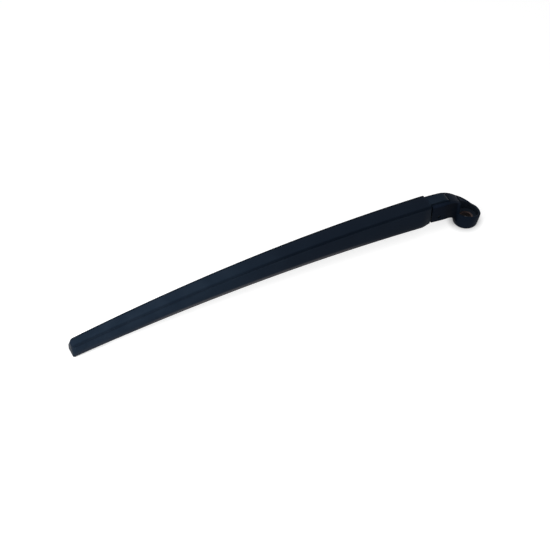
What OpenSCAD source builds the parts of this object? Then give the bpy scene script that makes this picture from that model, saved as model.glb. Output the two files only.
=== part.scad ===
// Wiper arm for a rear window: a moulded, bowed channel that hinges on a gooseneck head.
// The head's cup sits on the drive spindle along Z. The arm runs along -X to its tip.

/* [Arm] */
// Distance from the spindle axis to the tip
arm_reach = 363; // [340:1:400]
// Distance from the spindle axis to the shoulder where the channel starts
shoulder_x = 41.6; // [41.2:0.1:44]
// Height of the arm's back at the shoulder, above the cup's underside
shoulder_top = 39.3; // [38.8:0.1:39.8]
// Width of the flat back at the shoulder
shoulder_w = 15.8; // [14.8:0.1:17]
// Depth of the channel at the shoulder
shoulder_depth = 20.6; // [19.6:0.1:21.2]
// Width of the flat back at the tip
tip_w = 9.6; // [8.8:0.1:11]
// Height of the tip, whose lower edge is level with the cup's underside
tip_h = 10.6; // [9:0.1:11.5]
// Rise of the back above the straight line from shoulder to tip
bow = 9.4; // [7:0.1:12]
// How far the sides lean out below the back
side_flare = 2.4; // [1.4:0.1:2.8]
// How far the lower edge of each side tucks back in
edge_tuck = 1.2; // [0.6:0.1:1.6]
// Thickness of the side walls
side_wall = 2; // [1.6:0.1:2.4]
// Thickness of the back
back_wall = 2.5; // [2:0.1:3]
// Depth of the groove that sets the back off from the sides
crease_depth = 0.5; // [0.1:0.05:0.8]
// Thickness of the stiffening ribs
rib_t = 1.4; // [1:0.1:2]
// Distance between cross ribs
rib_pitch = 22; // [16:1:30]

/* [Hinge] */
// Distance from the spindle axis to the hinge pin
hinge_x = 27.5; // [27:0.1:28.5]
// Height of the hinge pin above the cup's underside
hinge_z = 32.9; // [32.5:0.1:33.2]
// Diameter of the hinge pin
hinge_pin_d = 4; // [3:0.1:4.6]
// Radius of the arm's hinge barrel
barrel_r = 6; // [5.6:0.1:6.2]
// Width of the tongue that carries the barrel
tongue_w = 8.6; // [8:0.1:10.6]
// Gap between the moving arm and the head
hinge_gap = 0.45; // [0.3:0.05:0.6]
// Radial clearance of a pin in a hole that turns on it
running_gap = 0.06; // [0.02:0.01:0.1]

/* [Spring] */
// Diameter of the spring's wire
wire_d = 1.8; // [1.4:0.1:2]
// Mean diameter of the coil
coil_d = 8.4; // [7.6:0.1:8.8]
// Number of coil turns
coil_turns = 24; // [18:1:26]
// Diameter of the two spring pins
spring_pin_d = 3.2; // [2.6:0.1:3.4]
// Distance from the spindle axis to the head's spring pin
head_pin_x = 33; // [32.5:0.1:33.5]
// Height of the head's spring pin
head_pin_z = 24; // [23.6:0.1:24.6]
// Distance from the spindle axis to the arm's spring pin
arm_pin_x = 118; // [116:0.5:124]
// Height of the arm's spring pin
arm_pin_z = 30; // [29:0.1:31]
// Thickness of the spring link's strap
link_t = 3; // [2:0.1:4]
// Length of the spring link between its two eyes
link_len = 22; // [20:0.5:24]

/* [Head] */
// Outer radius of the cup at its rim
cup_r = 12.3; // [11.8:0.1:13]
// Outer radius of the cup at its underside
cup_base_r = 10.7; // [10:0.1:11.4]
// Inner radius of the cup
cup_bore_r = 10.4; // [9.8:0.1:10.6]
// Thickness of the cup's floor
floor_t = 3.4; // [2.6:0.1:4]
// Height of the cup's rim at its front
rim_front = 9.1; // [8.5:0.1:10]
// How much higher the rim is where it meets the neck
rim_rise = 5.6; // [4:0.1:6.4]
// How far the far wall climbs to run into the neck
wall_lift = 16; // [14:0.2:16.6]
// Width of the head across its two cheeks
head_w = 15.6; // [15:0.1:16]
// Length of the gap between the cheeks and the channel's shoulder
shoulder_gap = 1.4; // [1:0.1:1.8]

/* [Insert] */
// Diameter of the spindle hole
spindle_d = 8.5; // [7.5:0.1:9.5]
// Outer diameter of the metal insert
insert_d = 13.4; // [12:0.1:14.4]
// How far the insert stands above the cup's floor
insert_proud = 0.6; // [0.2:0.1:1.2]
// Chamfer at the top of the spindle hole
hole_chamfer = 0.5; // [0.2:0.05:0.8]

/* [Hidden] */
$fn = 64;

plastic = "#20262c";
metal = "#8d8f92";
bronze = "#7b5a48";

width_swell = 1.1;
depth_swell = -0.1;
crown = 0.3;
edge_r = 0.6;
groove_h = 0.8;
tuck_h = 4.8;
lip = 0.4;
tip_round = 3.8;
low_round = 1.5;
tip_drop = 1.1;
tip_wall = 2.8;
end_blend = 9;
end_dish = 0.4;
shoulder_round = 0.6;
shoulder_lift = 1.3;
stations = 32;
sink = 0.3;
far = 60;

// Share of the way from the shoulder to the tip
function along(x) = (-x - shoulder_x) / (arm_reach - shoulder_x);
function mix(a, b, t) = a + (b - a) * t;
function swell(t) = 4 * t * (1 - t);
function clamp01(v) = max(0, min(1, v));
function ease(v) = let (c = clamp01(v)) c * c * (3 - 2 * c);

// Distance from the tip, and what its rounding takes off
function tip_dist(x) = arm_reach + x;
function quarter(r, d) = d >= r ? 0 : r - sqrt(max(0, r * r - (r - d) * (r - d)));

function back_z(x) = let (t = along(x))
    mix(shoulder_top, tip_h, t) + bow * swell(t)
    - quarter(tip_round, tip_dist(x)) * tip_drop / tip_round;
function edge_z(x) = let (t = along(x))
    mix(shoulder_top - shoulder_depth, 0, t) + (bow - depth_swell) * swell(t)
    + shoulder_lift * (1 - ease((-x - shoulder_x) / end_blend));
function plain_w(x) = let (t = along(x))
    (mix(shoulder_w, tip_w, t) + width_swell * swell(t)) / 2 - quarter(shoulder_round, -x - shoulder_x);
function half_w(x) = plain_w(x) - quarter(tip_round, tip_dist(x));
function low_w(x) = plain_w(x) - quarter(low_round, tip_dist(x));

// The sides flare and tuck most along the middle, and run out at both ends
function shoulder_share(x) = ease((-x - shoulder_x) / end_blend);
function tip_share(x) = ease(tip_dist(x) / 60);
function flare(x) = side_flare * mix(0.15, 1, shoulder_share(x)) * mix(0.6, 1, tip_share(x));
function tuck(x) = edge_tuck * mix(0.1, 1, shoulder_share(x)) * mix(0.25, 1, tip_share(x));
function groove(x) = crease_depth * (1 - ease((along(x) - 0.45) / 0.3));
function hollow(x) = tip_dist(x) > tip_wall ? 1 : 0;

// Right half of the channel's outside, from the middle of the back to the lower edge
function outside(x) = let (w = half_w(x), v = low_w(x), z = back_z(x), b = edge_z(x), g = groove(x),
                           f = flare(x), k = tuck(x), s = min(tuck_h, (z - b) * 0.4))
    concat([[0, z + crown], [(w - edge_r) * 0.6, z + crown * 0.65]],
           [for (a = [80, 52, 25, 0]) [w - edge_r + edge_r * cos(a), z - edge_r + edge_r * sin(a)]],
           [[w - g, z - edge_r - groove_h * 0.4],
            [w + f * 0.15, z - edge_r - groove_h],
            [mix(w, v, 0.5) + f * 0.7, mix(b + s, z, 0.35)],
            [v + f, b + s],
            [v + f - k * 0.35, b + s * 0.5],
            [v + f - k * 0.8, b + lip],
            [v + f - k - lip, b]]);

// Right half of the underside, from the lower edge to the middle: hollow, or filled at the tip
function inside(x) = let (w = low_w(x), z = back_z(x) - back_wall, b = edge_z(x), f = flare(x),
                          k = tuck(x), s = min(tuck_h, (z - b) * 0.4), lower = w + f - k - lip)
    tip_dist(x) > tip_wall ? [
        [lower - side_wall * 0.8, b],
        [w + f - side_wall - k * 0.5, b + s],
        [w + f * 0.4 - side_wall, mix(b, z, 0.75)],
        [w - side_wall - 1, z],
        [0, z + crown * 0.5]]
    : [for (q = [0.8, 0.6, 0.4, 0.2, 0]) [lower * q, b + sink * (1 - q * q)]];

function flip(points) = [for (i = [len(points) - 1:-1:0]) [-points[i][0], points[i][1]]];
function backward(list) = [for (i = [len(list) - 1:-1:0]) list[i]];
function drop_first(points) = [for (i = [1:len(points) - 1]) points[i]];
function drop_last(points) = [for (i = [0:len(points) - 2]) points[i]];
function shifted(points, d) = [for (p = points) [p[0], p[1], d]];
function channel_ring(x) = let (hollow = concat(inside(x), drop_first(flip(inside(x)))))
    concat(outside(x), shifted(hollow, x < -shoulder_x ? 0 : -end_dish), drop_last(flip(outside(x))));

// A solid through a row of closed rings, one at each place along X, with both ends filled.
// A third value in a ring's point moves that point along X.
module loft(xs, rings) {
    n = len(rings[0]);
    last = (len(xs) - 1) * n;
    points = [for (i = [0:len(xs) - 1]) for (p = rings[i]) [xs[i] + (len(p) > 2 ? p[2] : 0), p[0], p[1]]];
    walls = [for (i = [0:len(xs) - 2]) for (j = [0:n - 1])
        let (a = i * n + j, b = i * n + (j + 1) % n) each [[a, b, b + n], [a, b + n, a + n]]];
    start = [[for (j = [n - 1:-1:0]) j]];
    end = [[for (j = [0:n - 1]) last + j]];
    polyhedron(points, concat(walls, start, end), convexity = 8);
}

// Places along the arm, listed from the tip: close together at both ends and even between
channel_end = arm_reach - tip_wall;
shoulder_xs = [for (d = [0, 0.5, 1.6, 3.2, 5.2, 7.4]) -shoulder_x - d];
even_x = [for (i = [0:stations]) -mix(shoulder_x + end_blend + 1, channel_end - 1, i / stations)];
tip_x = [for (d = [tip_wall + 0.05, tip_wall - 0.5, 1.7, 1, 0.5, 0.15, 0.01]) d - arm_reach];
channel_x = backward(concat(shoulder_xs, even_x, tip_x));

module channel() loft(channel_x, [for (x = channel_x) channel_ring(x)]);

// Moves a flat drawing of X and Z into its plane, with a thickness along Y about the middle
module upright(t, y = 0) translate([0, y + t / 2, 0]) rotate([90, 0, 0]) linear_extrude(t) children();
module across(x, z, r, t, y = 0) upright(t, y) translate([x, z]) circle(r);

module tongue() {
    root = -shoulder_x - 20;
    top = hinge_z + barrel_r;
    upright(tongue_w) polygon([
        [root, back_z(root) - back_wall * 0.8], [-shoulder_x - 1.4, shoulder_top - 0.6],
        [-shoulder_x + 0.6, shoulder_top + 0.1], [-hinge_x - 3.5, top + 0.45],
        [-hinge_x + 0.3, top], [-hinge_x, hinge_z - barrel_r * 0.62],
        [-hinge_x - 9, hinge_z - barrel_r * 0.5], [root, back_z(root) - back_wall - 0.8]]);
    across(-hinge_x, hinge_z, barrel_r, tongue_w);
}

// A plate across the channel that reaches a little into its walls
module cross_rib(x, depth) {
    seat = 0.6;
    z = back_z(x) - back_wall;
    w = half_w(x) - side_wall + seat;
    lean = flare(x) * 0.4;
    low = mix(z, edge_z(x), depth);
    translate([x, 0, 0]) rotate([90, 0, 90]) linear_extrude(rib_t, center = true)
        polygon([[-w, z + seat], [w, z + seat], [w + lean, low], [-w - lean, low]]);
}

rib_first = arm_pin_x + 14;
blade_x = arm_reach - 26;
rib_last = blade_x - 16;
rib_count = floor((rib_last - rib_first) / rib_pitch);

module spine_rib() {
    xs = [for (i = [0:16]) -mix(rib_last, rib_first, i / 16)];
    rings = [for (x = xs) let (z = back_z(x) - back_wall, low = mix(z, edge_z(x), 0.55))
        [[rib_t / 2, z + 0.7], [rib_t / 2, low], [-rib_t / 2, low], [-rib_t / 2, z + 0.7]]];
    loft(xs, rings);
}

module ribs() {
    spine_rib();
    for (i = [0:rib_count]) cross_rib(-rib_first - i * (rib_last - rib_first) / rib_count, 0.62);
}

// Pads inside both walls with a slot, open below, that holds the spring's pin
seat_len = 9;
pin_reach = half_w(-arm_pin_x) * 2 - side_wall * 2 + 0.6;
module spring_seat() {
    low = edge_z(-arm_pin_x) + 3.2;
    top = back_z(-arm_pin_x) - back_wall + 0.6;
    pad = 3.2;
    inner = half_w(-arm_pin_x) + side_flare * 0.5 - side_wall;
    slot = spring_pin_d / 2;
    for (side = [-1, 1]) difference() {
        upright(pad, side * (inner - pad / 2 + 0.8)) translate([-arm_pin_x - seat_len / 2, low])
            square([seat_len, top - low]);
        across(-arm_pin_x, arm_pin_z, slot, far);
        upright(far) translate([-arm_pin_x - slot, low - 1]) square([2 * slot, arm_pin_z - low + 1]);
    }
}

// Bar across the channel near the tip, on which a wiper blade's clip snaps
bar_r = 2.3;
module blade_bar() {
    x = -blade_x;
    z = edge_z(x) + bar_r + 1.6;
    across(x, z, bar_r, 2 * (half_w(x) + flare(x) * 0.5 - side_wall * 0.5));
}

module arm() color(plastic) difference() {
    union() {
        channel();
        tongue();
        ribs();
        spring_seat();
        blade_bar();
    }
    across(-hinge_x, hinge_z, hinge_pin_d / 2 + running_gap, far);
}

// The neck's sections from the cheeks to the cup:
// place, sideways shift, half width, top, bottom, upper edge radius
cheek_x = shoulder_x - shoulder_gap;
neck = [[-cheek_x, 0, head_w / 2, 37.9, 19.6, 1.8],
        [-36, 0, head_w / 2, 37.8, 19.1, 1.9],
        [-31, 0, head_w / 2, 37.4, 18.5, 2],
        [-26, 0.2, head_w / 2 - 0.1, 36.7, 17.8, 2],
        [-22, 0.6, head_w / 2 - 0.5, 35.6, 16.8, 2],
        [-18, 1.1, head_w / 2 - 1, 33.8, 14.4, 2],
        [-14.5, 1.7, head_w / 2 - 1.4, 31.6, 10.2, 2],
        [-11.5, 2.2, head_w / 2 - 1.7, 29.2, 5.5, 2],
        [-8.4, 2.6, head_w / 2 - 1.9, 26.5, 4.4, 2]];
steps = 3;

function catmull(a, b, c, d, t) =
    0.5 * (2 * b + (c - a) * t + (2 * a - 5 * b + 4 * c - d) * t * t
           + (3 * b - a - 3 * c + d) * t * t * t);
function neck_row(i) = neck[max(0, min(len(neck) - 1, i))];
function neck_at(u) = let (i = min(floor(u), len(neck) - 2), t = u - i)
    catmull(neck_row(i - 1), neck_row(i), neck_row(i + 1), neck_row(i + 2), t);
function corner(y, z, r, from) = [for (k = [0:4]) let (a = from - k * 22.5) [y + r * cos(a), z + r * sin(a)]];
function neck_ring(s) = let (y = s[1], w = s[2], r = s[5], q = 1.2)
    concat(corner(y + w - r, s[3] - r, r, 90), corner(y + w - q, s[4] + q, q, 0),
           corner(y - w + q, s[4] + q, q, -90), corner(y - w + r, s[3] - r, r, -180));

module neck_body() {
    rows = [for (k = [0:(len(neck) - 1) * steps]) neck_at(k / steps)];
    loft([for (s = rows) s[0]], [for (s = rows) neck_ring(s)]);
}

// Height of the cup's rim by the angle round the spindle, from the front.
// It rises a little along the near side, and climbs along the far side into the neck.
function near_share(a) = (1 - pow((1 + cos(a)) / 2, 2.2)) * (a < 180 ? ease((a - 140) / 60) : 1);
function climb(a) = wall_lift * pow(clamp01((a - 36) / 96), 1.23) * (1 - ease((a - 152) / 50));
function rim_z(a) = rim_front + rim_rise * near_share(a) + climb(a);
function cup_side(z) = mix(cup_base_r, cup_r, clamp01(z / rim_front));

module cup_body() {
    n = 72;
    round_off = 0.5;
    angles = [for (i = [0:n - 1]) i * 360 / n];
    heights = [0, 0.35, 0.7, 1];
    function row(h) = [for (a = angles) let (z = (rim_z(a) - round_off) * h, r = cup_side(z))
        [r * cos(a), r * sin(a), z]];
    function top_row(r, dz) = [for (a = angles) [r * cos(a), r * sin(a), rim_z(a) - dz]];
    points = concat([for (h = heights) each row(h)], top_row(cup_r - round_off * 0.3, round_off * 0.3),
                    top_row(cup_r - round_off, 0), top_row(cup_bore_r - 1, 0), [[0, 0, rim_front]]);
    rows = len(heights) + 3;
    walls = [for (i = [0:rows - 2]) for (j = [0:n - 1])
        let (a = i * n + j, b = i * n + (j + 1) % n) each [[a, b + n, b], [a, a + n, b + n]]];
    base = [[for (j = [0:n - 1]) j]];
    cap = [for (j = [0:n - 1]) let (a = (rows - 1) * n + j, b = (rows - 1) * n + (j + 1) % n) [a, rows * n, b]];
    polyhedron(points, concat(base, walls, cap), convexity = 4);
}

slot_w = tongue_w + 2 * hinge_gap;
slot_back = hinge_x - 1.5;
module cheek_slot() {
    upright(slot_w) translate([-cheek_x - 1, -1]) square([cheek_x - slot_back + 1, far]);
    across(-hinge_x, hinge_z, barrel_r + hinge_gap, slot_w);
}

// Hollow under the neck that keeps its walls even
module neck_pocket() upright(head_w - 9, 0.9)
    polygon([[-22.8, 0], [-22.8, 24], [-19.5, 28.5], [-15.5, 26.5], [-13.4, 22], [-13.4, 0]]);

pin_wall = 1.1;
pin_recess = 0.9;
hinge_pin_len = head_w - pin_wall;
module hinge_pin_shape(r) across(-hinge_x, hinge_z, r, hinge_pin_len, pin_wall / 2);
module head_pin_shape(r, len) across(-head_pin_x, head_pin_z, r, len);

module head() color(plastic) difference() {
    union() {
        neck_body();
        cup_body();
    }
    translate([0, 0, floor_t]) cylinder(r = cup_bore_r, h = far);
    translate([0, 0, -1]) cylinder(d = insert_d, h = floor_t + 2);
    cheek_slot();
    neck_pocket();
    hinge_pin_shape(hinge_pin_d / 2);
    head_pin_shape(spring_pin_d / 2, far);
}

insert_top = floor_t + insert_proud;
module spindle_insert() color(bronze) rotate_extrude() polygon([
    [spindle_d / 2, 0], [insert_d / 2, 0], [insert_d / 2, insert_top - 0.3],
    [insert_d / 2 - 0.3, insert_top], [spindle_d / 2 + hole_chamfer, insert_top],
    [spindle_d / 2, insert_top - hole_chamfer]]);

module hinge_pin() color(metal) hinge_pin_shape(hinge_pin_d / 2);
module head_spring_pin() color(metal) head_pin_shape(spring_pin_d / 2, head_w - 2 * pin_recess);
module arm_spring_pin() color(metal) across(-arm_pin_x, arm_pin_z, spring_pin_d / 2, pin_reach);

// The spring pulls along the line between its two pins
pull = [head_pin_x - arm_pin_x, arm_pin_z - head_pin_z];
pull_angle = atan2(pull[1], pull[0]);
module along_pull() translate([-head_pin_x, 0, head_pin_z]) rotate([0, -pull_angle, 0]) children();

eye_wall = 1.7;
wire_hole = wire_d / 2 + 0.35;
module spring_link() color(metal) along_pull() upright(link_t) difference() {
    union() {
        circle(spring_pin_d / 2 + eye_wall);
        translate([0, -eye_wall]) square([link_len, 2 * eye_wall]);
        translate([link_len, 0]) circle(wire_hole + eye_wall * 0.8);
    }
    circle(spring_pin_d / 2 + running_gap);
    translate([link_len, 0]) circle(wire_hole);
}

// Coil with a half loop and hook at each end, as one swept wire
pull_len = norm(pull);
turn_steps = 12;
coil_pitch = wire_d + 0.1;
coil_len = coil_turns * coil_pitch;
coil_start = (link_len + pull_len - coil_len) / 2;
hook_r = spring_pin_d / 2 + 0.1 + wire_d / 2;
coil_path = [for (i = [0:coil_turns * turn_steps]) let (a = i * 360 / turn_steps)
    [coil_start + coil_len * i / (coil_turns * turn_steps), coil_d / 2 * cos(a), coil_d / 2 * sin(a)]];
hook_d = link_t / 2 + wire_d / 2 + 0.25;
link_hook = [[2.2, -hook_d - 0.3], [1, -hook_d - 0.2], [0.25, -hook_d + 0.6], [0, -link_t / 2], [0, 0],
             [0, link_t / 2], [0.3, hook_d], [1.2, hook_d + 0.7], [3, hook_d + 1.15], [5.5, coil_d / 2 - 0.1]];
link_part = [for (p = link_hook) [link_len + p[0], p[1], 0]];
coil_end = coil_start + coil_len;
rise_part = [for (q = [0.14:0.14:0.98])
    let (a = 90 * min(1, q * 1.5), r = mix(coil_d / 2, hook_r, ease(q)))
    [mix(coil_end, pull_len, q), r * cos(a), r * sin(a)]];
pin_part = [for (a = [90:-30:-150]) [pull_len + hook_r * cos(a), 0, hook_r * sin(a)]];
wire_path = concat(link_part, coil_path, rise_part, pin_part);

function unit(v) = v / norm(v);
function tangent(path, i) = unit(path[min(i + 1, len(path) - 1)] - path[max(i - 1, 0)]);

module wire(path, r, sides = 6) {
    rings = [for (i = [0:len(path) - 1]) let (t = tangent(path, i),
             u = unit(cross(t, abs(t[1]) > 0.9 ? [1, 0, 0] : [0, 1, 0])), v = cross(t, u))
        each [for (k = [0:sides - 1]) let (a = k * 360 / sides) path[i] + r * (u * cos(a) + v * sin(a))]];
    n = len(path);
    walls = [for (i = [0:n - 2]) for (k = [0:sides - 1])
        let (a = i * sides + k, b = i * sides + (k + 1) % sides) each [[a, b + sides, b], [a, a + sides, b + sides]]];
    start = [[for (k = [0:sides - 1]) k]];
    end = [[for (k = [sides - 1:-1:0]) (n - 1) * sides + k]];
    polyhedron(rings, concat(walls, start, end), convexity = 6);
}

module tension_spring() color(metal) along_pull() wire(wire_path, wire_d / 2);

arm();
head();
spindle_insert();
hinge_pin();
head_spring_pin();
spring_link();
tension_spring();
arm_spring_pin();
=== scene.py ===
import bpy
import bmesh
import math
from mathutils import Matrix, Vector


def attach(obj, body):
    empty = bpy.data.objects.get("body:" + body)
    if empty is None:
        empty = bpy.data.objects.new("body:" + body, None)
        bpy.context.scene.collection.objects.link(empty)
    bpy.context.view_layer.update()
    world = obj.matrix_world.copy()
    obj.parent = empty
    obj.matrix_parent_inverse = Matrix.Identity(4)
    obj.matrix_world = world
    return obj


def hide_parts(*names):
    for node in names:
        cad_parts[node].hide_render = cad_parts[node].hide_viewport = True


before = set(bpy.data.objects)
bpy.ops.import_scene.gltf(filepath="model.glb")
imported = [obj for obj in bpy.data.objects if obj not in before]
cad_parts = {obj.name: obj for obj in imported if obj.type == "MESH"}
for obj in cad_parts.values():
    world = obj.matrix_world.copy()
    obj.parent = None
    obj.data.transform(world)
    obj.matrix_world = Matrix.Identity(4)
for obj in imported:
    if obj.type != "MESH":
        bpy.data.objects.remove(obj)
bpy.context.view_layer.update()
print("frame loaded")


# A node's output, so that shader maths reads as plain expressions
class Socket:
    def __init__(self, tree, out):
        self.tree = tree
        self.out = out

    def plug(self, target, value):
        if isinstance(value, Socket):
            self.tree.links.new(value.out, target)
        else:
            target.default_value = value

    def make(self, kind, inputs=None, output=0, **settings):
        node = self.tree.nodes.new(kind)
        for key, value in settings.items():
            setattr(node, key, value)
        for key, value in (inputs or {}).items():
            self.plug(node.inputs[key], value)
        return Socket(self.tree, node.outputs[output])

    def maths(self, operation, *values):
        return self.make("ShaderNodeMath", dict(enumerate(values)), operation=operation)

    def __add__(self, other):
        return self.maths("ADD", self, other)

    def __sub__(self, other):
        return self.maths("SUBTRACT", self, other)

    def __rsub__(self, other):
        return self.maths("SUBTRACT", other, self)

    def __mul__(self, other):
        return self.maths("MULTIPLY", self, other)

    def __truediv__(self, other):
        return self.maths("DIVIDE", self, other)

    def __pow__(self, other):
        return self.maths("POWER", self, other)

    __radd__ = __add__
    __rmul__ = __mul__

    def axes(self):
        return [self.make("ShaderNodeSeparateXYZ", {0: self}, output=axis) for axis in "XYZ"]

    def band(self, low, high):  # 0 up to low, 1 from high on, eased between them
        return self.make("ShaderNodeMapRange", {"Value": self, "From Min": low, "From Max": high},
                         interpolation_type="SMOOTHSTEP")

    def blendColor(self, first, second):
        return self.make("ShaderNodeMix", {0: self, 6: first, 7: second}, output=2, data_type="RGBA")


def rgb(red, green, blue):  # a colour as a screen shows it, 0 to 255
    def linear(channel):
        channel = channel / 255
        return channel / 12.92 if channel <= 0.04045 else ((channel + 0.055) / 1.055) ** 2.4
    return (linear(red), linear(green), linear(blue), 1.0)


def soften(value, low, high):
    share = max(0.0, min(1.0, (value - low) / (high - low)))  # low may be the larger of the two
    return share * share * (3 - 2 * share)


def newMaterial(name):
    material = bpy.data.materials.new(name)
    material.use_nodes = True
    shader = material.node_tree.nodes["Principled BSDF"]
    place = Socket(material.node_tree, None).make("ShaderNodeTexCoord", output="Object")
    return material, shader, place


def noise(place, look, kind):
    return place.make("ShaderNodeTexNoise", {
        "Vector": place, "Scale": look[kind + "Scale"], "Detail": look[kind + "Detail"]})


def bump(height, look, kind, normal=None):
    inputs = {"Height": height, "Strength": look[kind + "Strength"], "Distance": look[kind + "Depth"]}
    if normal:
        inputs["Normal"] = normal
    return height.make("ShaderNodeBump", inputs)


def patchyRoughness(patches, look):
    return (patches - 0.5) * look["roughSpread"] * 2.0 + look["roughness"]


plasticLook = {
    "base": (22, 32, 44), "worn": (27, 37, 49), "rubbed": (52, 60, 68),
    "roughness": 0.42, "roughSpread": 0.07, "specular": 0.02,
    "grainScale": 2600.0, "grainDetail": 2.0, "grainStrength": 0.35, "grainDepth": 0.00003,
    "flowScale": 38.0, "flowDetail": 1.0, "flowStrength": 0.25, "flowDepth": 0.00008,
    "cloudScale": 55.0, "cloudDetail": 4.0, "patchRange": (0.35, 0.7), "patchHold": 0.12,
    "edgeRadius": 0.00035, "edgeSamples": 4, "edgeTurn": (0.01, 0.2), "edgePatches": (0.35, 0.6),
    "edgeWear": 0.5,
}


# tintsOf gives a piece's tints as (mask, colour) pairs, and how much of the edge wear it takes
def plasticMaterial(name, look, tintsOf, pieceLook):
    material, shader, place = newMaterial(name)
    cloud = noise(place, look, "cloud")
    rounded = place.make("ShaderNodeBevel", {"Radius": look["edgeRadius"]}, samples=look["edgeSamples"])
    flat = place.make("ShaderNodeNewGeometry", output="Normal")
    agree = place.make("ShaderNodeVectorMath", {0: rounded, 1: flat}, output="Value",
                       operation="DOT_PRODUCT")
    tints, wear = tintsOf(place, pieceLook)
    edges = (1.0 - agree).band(*look["edgeTurn"])
    rubbed = edges * cloud.band(*look["edgePatches"]) * look["edgeWear"] * wear
    patches = cloud.band(*look["patchRange"])
    tint = patches.blendColor(rgb(*look["base"]), rgb(*look["worn"]))
    for mask, color in tints:
        tint = (mask * (1.0 - patches * look["patchHold"])).blendColor(tint, rgb(*color))
    place.plug(shader.inputs["Base Color"], rubbed.blendColor(tint, rgb(*look["rubbed"])))
    place.plug(shader.inputs["Roughness"], patchyRoughness(cloud, look))
    coarse = bump(noise(place, look, "flow"), look, "flow", rounded)
    place.plug(shader.inputs["Normal"], bump(noise(place, look, "grain"), look, "grain", coarse))
    shader.inputs["Specular IOR Level"].default_value = look["specular"]
    return material


steelLook = {
    "base": (176, 178, 180), "dull": (140, 142, 146), "roughness": 0.32, "roughSpread": 0.1,
    "patchScale": 240.0, "patchDetail": 4.0, "patchRange": (0.3, 0.75),
    "drawnScale": 1500.0, "drawnDetail": 2.0, "drawnStrength": 0.15, "drawnDepth": 0.00002,
}


def metalMaterial(name, look):
    material, shader, place = newMaterial(name)
    patches = noise(place, look, "patch")
    tint = patches.band(*look["patchRange"]).blendColor(rgb(*look["base"]), rgb(*look["dull"]))
    if "boreDark" in look:
        x, y = place.axes()[:2]
        # darker towards the bore
        bore = 1.0 - ((x * x + y * y) ** 0.5).band(*look["boreDarkRadius"])
        tint = bore.blendColor(tint, rgb(*look["boreDark"]))
    place.plug(shader.inputs["Base Color"], tint)
    place.plug(shader.inputs["Roughness"], patchyRoughness(patches, look))
    place.plug(shader.inputs["Normal"], bump(noise(place, look, "drawn"), look, "drawn"))
    shader.inputs["Metallic"].default_value = 1.0
    return material


def addObject(name, data):
    obj = bpy.data.objects.new(name, data)
    bpy.context.collection.objects.link(obj)
    return obj


def paint(obj, material):
    obj.data.materials.clear()
    obj.data.materials.append(material)


mouldLook = {"merge": 2e-6, "sliver": 1e-7, "normalWeight": 60}


# A moulded piece is a merged copy of its solid, shaded smooth up to an angle
def moulded(name, nodeName, body, material, smoothAngle, reshape=None):
    source = bpy.data.objects[nodeName]
    mesh = source.data.copy()
    mesh.name = name
    mesh.transform(source.matrix_world)
    shape = bmesh.new()
    shape.from_mesh(mesh)
    bmesh.ops.remove_doubles(shape, verts=shape.verts, dist=mouldLook["merge"])
    bmesh.ops.dissolve_degenerate(shape, edges=shape.edges, dist=mouldLook["sliver"])
    if reshape:
        reshape(shape.verts)
    shape.to_mesh(mesh)
    shape.free()
    for key in list(mesh.attributes.keys()):
        if "normal" in key.lower():  # stored normals would hold the solid's flat shading
            mesh.attributes.remove(mesh.attributes[key])
    obj = addObject(name, mesh)
    mesh.shade_smooth()
    mesh.set_sharp_from_angle(angle=math.radians(smoothAngle))
    weighted = obj.modifiers.new("weighted", "WEIGHTED_NORMAL")
    weighted.keep_sharp = True
    weighted.weight = mouldLook["normalWeight"]
    paint(obj, material)
    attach(obj, body)
    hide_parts(nodeName)


# First the lines of the solid that the tints follow: the back's edge, the lower lip and the half width. The
# tints are painted shade along the arm and in the crease, and a painted highlight on the lower side.
armLook = {
    "shoulder": 0.0416, "reach": 0.363, "top": 0.0393, "tip": 0.0106, "bow": 0.0094,
    "low": 0.0187, "lowBow": 0.0095, "shoulderHalf": 0.0079, "tipHalf": 0.0048, "swell": 0.00055,
    # painted shade: the arm darker towards the head, where the light falls off along it, none on the tongue
    "shade": (18, 26, 37), "shadeRange": (0.15, 0.255), "tongueEnd": (0.04, 0.044),
    # painted shade: a dark line along the back's border over the crease, on both sides, weaker towards the
    # tip
    "edge": (8, 16, 26), "edgeSide": (-0.0026, -0.0012), "edgeDrop": (0.0006, 0.0016),
    "edgeRange": (0.17, 0.22), "edgeFade": 0.45,
    # painted highlight: a light band along the lower side, a painted reflection of the floor, kept off the
    # head's end and faded at the tip
    "lip": (70, 71, 75), "lipSide": (0.0006, 0.001), "lipHeight": (0.003, 0.0056),
    "lipStart": (0.085, 0.13), "lipEnd": (0.27, 0.31), "lipFade": 0.9,
    "wearStart": (0.029, 0.033), "smoothAngle": 32,
}


def armTints(place, look):
    x, y, z = place.axes()
    out = x * -1.0
    along = (out - look["shoulder"]) / (look["reach"] - look["shoulder"])
    rise = along * (1.0 - along) * 4.0
    drop = along * (look["tip"] - look["top"]) + rise * look["bow"] + look["top"] - z
    lift = z - (1.0 - along) * look["low"] - rise * look["lowBow"]
    half = along * (look["tipHalf"] - look["shoulderHalf"]) + rise * look["swell"] + look["shoulderHalf"]
    beyond = y.maths("ABSOLUTE", y) - half
    # painted shade: darker towards the head, where the light falls off along the arm
    shade = (1.0 - out.band(*look["shadeRange"])) * out.band(*look["tongueEnd"])
    # painted shade: a dark line in the crease along the back's border
    edge = beyond.band(*look["edgeSide"]) * (1.0 - drop.band(*look["edgeDrop"]))
    edge = edge * (1.0 - out.band(*look["edgeRange"]) * look["edgeFade"])
    # painted highlight: a light band along the lower side, a painted reflection of the floor
    lip = (1.0 - lift.band(*look["lipHeight"])) * beyond.band(*look["lipSide"])
    lip = lip * out.band(*look["lipStart"]) * (1.0 - out.band(*look["lipEnd"]) * look["lipFade"])
    tints = [(shade, look["shade"]), (edge, look["edge"]), (lip, look["lip"])]
    return tints, out.band(*look["wearStart"])


armPlastic = plasticMaterial("armPlastic", plasticLook, armTints, armLook)
moulded("armShell", "arm", "arm", armPlastic, armLook["smoothAngle"])
print("arm dressed")


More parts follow.
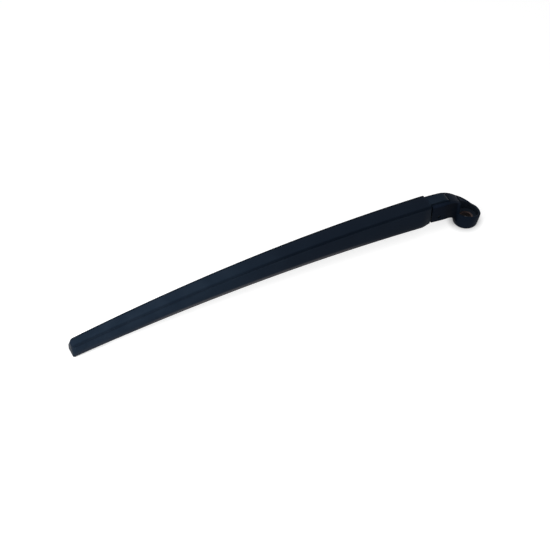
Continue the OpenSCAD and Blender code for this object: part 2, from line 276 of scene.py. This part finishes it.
# The rim's angles are in degrees round the cup, from +X. The web's places are from the cup's axis.
headLook = {
    # painted shade: the head's base is darker than the arm's, as dark as the arm's painted shade, where the
    # light falls off towards the head
    "plastic": {"base": (17, 25, 37), "worn": (21, 29, 42), "roughness": 0.48, "specular": 0.01},
    "neckStart": 0.04, "neckTop": 0.0379, "neckFall": 370.0,
    # painted shade: the sides of the neck and cheeks darker below the neck's top, less so towards the arm
    "cheekShade": (5, 10, 19), "cheekShadeStart": (0.0115, 0.0145), "cheekShadeBelow": (0.0008, 0.0022),
    "cheekShadeRange": (0.022, 0.032), "cheekShadeFade": 0.4,
    # painted light: the cup's inner walls lighter, where little light reaches them
    "inside": (36, 43, 53), "insideRadius": (0.0106, 0.0109), "insideFloor": (0.0028, 0.0033),
    "insideSide": (-0.006, -0.001),
    "wear": 0.3, "smoothAngle": 35,
    "rim": {"bore": 0.0104, "within": 0.00007, "above": 0.006, "start": 44, "full": 100, "hold": 112,
            "end": 136, "inward": 0.002, "down": 0.0026},
    "web": {"start": 0.0172, "full": 0.0138, "side": 0.004, "wall": 0.0108, "behind": 0.00972,
            "low": 0.0028, "fade": 0.008625, "high": 0.0115, "drop": 0.0015},
}


def headTints(place, look):
    x, y, z = place.axes()
    out = x * -1.0
    radius = (x * x + y * y) ** 0.5
    topLine = look["neckTop"] - (x + look["neckStart"]) ** 3.0 * look["neckFall"]
    # painted shade on the sides of the neck and cheeks
    cheekShade = out.band(*look["cheekShadeStart"]) * (topLine - z).band(*look["cheekShadeBelow"])
    cheekShade = cheekShade * (1.0 - out.band(*look["cheekShadeRange"]) * look["cheekShadeFade"])
    # painted light on the cup's inner walls
    inside = (1.0 - radius.band(*look["insideRadius"])) * z.band(*look["insideFloor"])
    inside = inside * x.band(*look["insideSide"])
    return [(cheekShade, look["cheekShade"]), (inside, look["inside"])], look["wear"]


# The far wall's rim is wider and leans into the cup, where the neck runs out along it
def leanRim(vertices, look):
    for vertex in vertices:
        x, y, z = vertex.co
        radius = math.hypot(x, y)
        if abs(radius - look["bore"]) > look["within"] or z < look["above"]:
            continue
        angle = math.degrees(math.atan2(y, x))
        share = soften(angle, look["start"], look["full"]) * (1 - soften(angle, look["hold"], look["end"]))
        inner = 1 - look["inward"] * share / radius
        vertex.co = (x * inner, y * inner, z - look["down"] * share)


# The neck's underside runs into the cup's side with a small web
def dropWeb(vertices, look):
    for vertex in vertices:
        x, y, z = vertex.co
        if x > -look["behind"] or math.hypot(x, y) < look["wall"] or y > look["side"] or z < look["low"]:
            continue
        share = soften(-x, look["start"], look["full"]) * (1 - soften(z, look["fade"], look["high"]))
        vertex.co.z = z - look["drop"] * share


def reshapeHead(vertices):
    leanRim(vertices, headLook["rim"])
    dropWeb(vertices, headLook["web"])


headPlastic = plasticMaterial("headPlastic", {**plasticLook, **headLook["plastic"]}, headTints, headLook)
moulded("headShell", "head", "head", headPlastic, headLook["smoothAngle"], reshapeHead)
print("head dressed")


pinLook = {**steelLook, "base": (34, 36, 40), "dull": (22, 24, 28), "roughness": 0.6}
pinSteel = metalMaterial("pinSteel", pinLook)
plateSteel = metalMaterial("plateSteel", steelLook)
for nodeName, material in [("hinge_pin", pinSteel), ("head_spring_pin", pinSteel),
                           ("arm_spring_pin", pinSteel), ("spring_link", plateSteel)]:
    paint(bpy.data.objects[nodeName], material)
print("pins and link dressed")


springLook = {
    "steel": {"base": (150, 152, 156), "roughness": 0.28},
    "wire": {"Wire Radius": 0.0009, "Coil Radius": 0.0042, "Turns": 24.0, "Coil Length": 0.0456},
    "wireSides": 12, "turnSteps": 28, "bendOrder": 3, "bendSteps": 6,
    "headPin": (-0.033, 0.024), "armPin": (-0.118, 0.03), "pinRadius": 0.0016, "pinGap": 0.0001,
    "linkLength": 0.022, "linkThick": 0.003, "linkGap": 0.00025,
    "drawn": 0.0155,  # length of the hook's shank inside the coil, which the spring draws out
    "riseSteps": 13, "riseTurn": 90, "riseHurry": 1.5, "hookTurn": (90, -165, -15),
    # the hook in the link's hole: past the hole, from which line across the link, and off that line
    "eye": [(0.0024, "left", -0.0004), (0.0012, "left", -0.0003), (0.0003, "left", 0.0005),
            (0, "leftFace", 0), (0, "middle", 0), (0, "rightFace", 0), (0.0003, "right", 0),
            (0.0013, "right", 0.0003), (0.003, "right", -0.0004), (0.005, "middle", 0.0009),
            (0.0068, "middle", 0), (0.009, "middle", 0)],
}


# A tube along the given curve, and along a coil that is laid on the X axis where one is asked for
def wireTree(name, sizes, look, withCoil):
    tree = bpy.data.node_groups.new(name, "GeometryNodeTree")
    tree.interface.new_socket("Geometry", in_out="INPUT", socket_type="NodeSocketGeometry")
    for label, value in sizes.items():
        socket = tree.interface.new_socket(label, in_out="INPUT", socket_type="NodeSocketFloat")
        socket.default_value = value
    tree.interface.new_socket("Material", in_out="INPUT", socket_type="NodeSocketMaterial")
    tree.interface.new_socket("Geometry", in_out="OUTPUT", socket_type="NodeSocketGeometry")
    entry = tree.nodes.new("NodeGroupInput")
    given = {socket.name: Socket(tree, socket) for socket in entry.outputs if socket.name}
    paths = given["Geometry"]
    if withCoil:
        coil = paths.make("GeometryNodeCurveSpiral", {
            "Resolution": look["turnSteps"], "Rotations": given["Turns"],
            "Start Radius": given["Coil Radius"], "End Radius": given["Coil Radius"],
            "Height": given["Coil Length"]})
        spot = paths.make("ShaderNodeCombineXYZ", {"X": given["Coil Start"]})
        laid = paths.make("GeometryNodeTransform", {
            "Geometry": coil, "Translation": spot,
            "Rotation": Matrix(((0, 0, 1), (1, 0, 0), (0, 1, 0))).to_euler()})
        joined = tree.nodes.new("GeometryNodeJoinGeometry")
        for part in (laid, paths):
            tree.links.new(part.out, joined.inputs[0])
        paths = Socket(tree, joined.outputs[0])
    ring = paths.make("GeometryNodeCurvePrimitiveCircle", {
        "Resolution": look["wireSides"], "Radius": given["Wire Radius"]})
    tube = paths.make("GeometryNodeCurveToMesh", {"Curve": paths, "Profile Curve": ring, "Fill Caps": True})
    real = paths.make("GeometryNodeRealizeInstances", {"Geometry": tube})
    soft = paths.make("GeometryNodeSetShadeSmooth", {"Geometry": real, "Shade Smooth": True})
    done = paths.make("GeometryNodeSetMaterial", {"Geometry": soft, "Material": given["Material"]})
    tree.links.new(done.out, tree.nodes.new("NodeGroupOutput").inputs[0])
    return tree


def sweptWire(name, body, points, sizes, look, place, material, withCoil=False):
    curve = bpy.data.curves.new(name + "Path", "CURVE")
    curve.dimensions = "3D"
    spline = curve.splines.new("NURBS")
    spline.points.add(len(points) - 1)
    for point, spot in zip(spline.points, points):
        point.co = (*spot, 1.0)
    spline.order_u = look["bendOrder"]
    spline.use_endpoint_u = True
    spline.resolution_u = look["bendSteps"]
    source = addObject(name + "Path", curve)
    nodes = source.modifiers.new("wire", "NODES")
    nodes.node_group = wireTree(name + "Tree", sizes, look, withCoil)
    for item in nodes.node_group.interface.items_tree:
        if item.in_out == "INPUT" and item.name == "Material":
            nodes[item.identifier] = material
    evaluated = source.evaluated_get(bpy.context.evaluated_depsgraph_get())
    mesh = bpy.data.meshes.new_from_object(evaluated)
    mesh.name = name
    mesh.transform(place)
    bpy.data.objects.remove(source)
    obj = addObject(name, mesh)
    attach(obj, body)
    return obj


# The spring is made along X, from the head's pin, and then laid on the line between the two pins
def buildSpring(look, material):
    sizes = look["wire"]
    headX, headZ = look["headPin"]
    armX, armZ = look["armPin"]
    run = Vector((armX - headX, 0, armZ - headZ))
    pullLength = run.length
    run.normalize()
    turn = Matrix(((run.x, 0, -run.z), (0, 1, 0), (run.z, 0, run.x)))
    place = Matrix.Translation((headX, 0, headZ)) @ turn.to_4x4()
    start = (look["linkLength"] + pullLength - sizes["Coil Length"]) / 2
    end = start + sizes["Coil Length"]
    wire = sizes["Wire Radius"]
    coil = sizes["Coil Radius"]
    hook = look["pinRadius"] + look["pinGap"] + wire
    path = [(end, coil, 0.0)]
    for step in range(1, look["riseSteps"]):
        share = step / look["riseSteps"]
        angle = math.radians(look["riseTurn"] * min(1.0, share * look["riseHurry"]))
        radius = coil + (hook - coil) * soften(share, 0, 1)
        path.append((end + (pullLength - end) * share, radius * math.cos(angle), radius * math.sin(angle)))
    for degrees in range(*look["hookTurn"]):
        angle = math.radians(degrees)
        path.append((pullLength + hook * math.cos(angle), 0.0, hook * math.sin(angle)))
    springCoil = sweptWire("springCoil", "arm", path, {**sizes, "Coil Start": start}, look, place,
                           material, True)
    face = look["linkThick"] / 2
    side = face + wire + look["linkGap"]
    lines = {"left": -side, "leftFace": -face, "middle": 0, "rightFace": face, "right": side}
    path = [(look["linkLength"] + past, lines[line] + off, 0) for past, line, off in look["eye"]]
    path.append((start + look["drawn"], 0, 0))
    sweptWire("springHook", "link", path, {"Wire Radius": wire}, look, place, material)
    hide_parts("tension_spring")


springSteel = metalMaterial("springSteel", {**steelLook, **springLook["steel"]})
buildSpring(springLook, springSteel)
print("spring wound")


insertLook = {
    "bronze": {"base": (80, 68, 67), "dull": (60, 52, 53), "roughness": 0.45, "roughSpread": 0.12,
               # darker towards the bore
               "boreDark": (36, 31, 32), "boreDarkRadius": (0.0046, 0.005)},
    "bore": 0.00425, "outer": 0.0067, "top": 0.004, "bevel": 0.0003, "boreBevel": 0.0005,
    "teeth": 36, "toothSteps": 4, "toothDepth": 0.00022, "smoothAngle": 30,
}


def buildInsert(look, material):
    count = look["teeth"] * look["toothSteps"]
    outer, top, bevel = look["outer"], look["top"], look["bevel"]
    points = []
    for index in range(count):
        angle = 2 * math.pi * index / count
        phase = (index % look["toothSteps"]) / look["toothSteps"]
        tooth = look["bore"] + look["toothDepth"] * (1 - abs(2 * phase - 1))
        section = [(tooth, 0), (outer, 0), (outer, top - bevel), (outer - bevel, top),
                   (look["bore"] + look["boreBevel"], top), (tooth, top - look["boreBevel"])]
        points += [(radius * math.cos(angle), radius * math.sin(angle), height)
                   for radius, height in section]
    corners = len(section)
    faces = []
    for index in range(count):
        here = index * corners
        there = (index + 1) % count * corners
        for corner in range(corners):
            after = (corner + 1) % corners
            faces.append((here + corner, there + corner, there + after, here + after))
    mesh = bpy.data.meshes.new("insertRing")
    mesh.from_pydata(points, [], faces)
    shape = bmesh.new()
    shape.from_mesh(mesh)
    bmesh.ops.recalc_face_normals(shape, faces=shape.faces)
    shape.to_mesh(mesh)
    shape.free()
    mesh.shade_smooth()
    mesh.set_sharp_from_angle(angle=math.radians(look["smoothAngle"]))
    obj = addObject("insertRing", mesh)
    paint(obj, material)
    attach(obj, "head")
    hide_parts("spindle_insert")


insertBronze = metalMaterial("insertBronze", {**steelLook, **insertLook["bronze"]})
buildInsert(insertLook, insertBronze)
print("insert made")


# The floor's glow, where a ray sees it, gives the white ground. It fades within contact of the piece: a
# painted contact shadow from ambient occlusion.
stageLook = {"floor": (200, 200, 200), "roughness": 0.9, "size": 6.0, "below": 0.0004, "glow": 0.68,
             "contact": 0.0066, "contactSamples": 8, "world": 0.36}


def seenRays(tree):
    path = tree.nodes.new("ShaderNodeLightPath")
    camera, glossy, through = (Socket(tree, path.outputs[kind]) for kind in (
        "Is Camera Ray", "Is Glossy Ray", "Is Transmission Ray"))
    either = camera.maths("MAXIMUM", camera, glossy)
    return either.maths("MAXIMUM", either, through)


def buildStage(look):
    half = look["size"] / 2
    corners = [(-half, -half, 0), (half, -half, 0), (half, half, 0), (-half, half, 0)]
    mesh = bpy.data.meshes.new("floor")
    mesh.from_pydata(corners, [], [(0, 1, 2, 3)])
    floor = addObject("floor", mesh)
    floor.location.z = -look["below"]
    material, shader, place = newMaterial("floorWhite")
    shader.inputs["Base Color"].default_value = rgb(*look["floor"])
    shader.inputs["Roughness"].default_value = look["roughness"]
    shader.inputs["Specular IOR Level"].default_value = 0.0
    shader.inputs["Emission Strength"].default_value = 1.0
    openness = place.make("ShaderNodeAmbientOcclusion", {"Distance": look["contact"]}, output="AO",
                          samples=look["contactSamples"])
    glow = seenRays(material.node_tree) * openness * look["glow"]
    place.plug(shader.inputs["Emission Color"], glow.blendColor(rgb(0, 0, 0), rgb(255, 255, 255)))
    mesh.materials.append(material)
    world = bpy.data.worlds.new("studio")
    bpy.context.scene.world = world
    world.use_nodes = True
    seen = seenRays(world.node_tree)
    background = world.node_tree.nodes["Background"]
    background.inputs["Color"].default_value = rgb(255, 255, 255)
    seen.plug(background.inputs["Strength"], seen * (1.0 - look["world"]) + look["world"])


lampLook = [
    {"name": "keyLamp", "place": (-0.46, -0.1, 0.25), "aim": (-0.3, 0, 0.02), "size": 0.3, "power": 1.3},
    {"name": "frontLamp", "place": (-0.18, -0.36, 0.78), "aim": (-0.03, 0, 0.03), "size": 0.5,
     "power": 2.1},
]


def addLamp(look):
    data = bpy.data.lights.new(look["name"], "AREA")
    data.energy = look["power"]
    data.size = look["size"]
    lamp = addObject(look["name"], data)
    lamp.location = look["place"]
    aim = Vector(look["aim"]) - Vector(look["place"])
    lamp.rotation_euler = aim.to_track_quat("-Z", "Y").to_euler()
    lamp.visible_camera = False


buildStage(stageLook)
for look in lampLook:
    addLamp(look)
print("stage lit")


# Angles are in degrees. The nudge is in pixels, for a picture of that many pixels.
cameraLook = {"azimuth": -28.243, "elevation": 47.628, "roll": 3.099, "focalPixels": 1720.96, "pixels": 550,
              "place": (-0.634699, -0.842301, 1.058038), "nudge": (0.5, 0.5), "sensor": 36.0,
              "clipEnd": 20.0}


def buildCamera(look):
    azimuth, elevation, roll = (math.radians(look[key]) for key in ("azimuth", "elevation", "roll"))
    right = Vector((math.cos(azimuth), math.sin(azimuth), 0))
    back = Vector((math.sin(azimuth) * math.cos(elevation), -math.cos(azimuth) * math.cos(elevation),
                   math.sin(elevation)))
    up = back.cross(right)
    across = right * math.cos(roll) + up * math.sin(roll)
    above = up * math.cos(roll) - right * math.sin(roll)
    data = bpy.data.cameras.new("photoCamera")
    data.sensor_width = look["sensor"]
    data.lens = look["focalPixels"] * look["sensor"] / look["pixels"]
    data.shift_x = -look["nudge"][0] / look["pixels"]
    data.shift_y = look["nudge"][1] / look["pixels"]
    data.clip_end = look["clipEnd"]
    camera = addObject("photoCamera", data)
    turn = Matrix((across, above, back)).transposed()
    camera.matrix_world = Matrix.Translation(look["place"]) @ turn.to_4x4()
    bpy.context.scene.camera = camera


buildCamera(cameraLook)
bpy.context.scene.view_settings.view_transform = "Standard"
print("camera set")
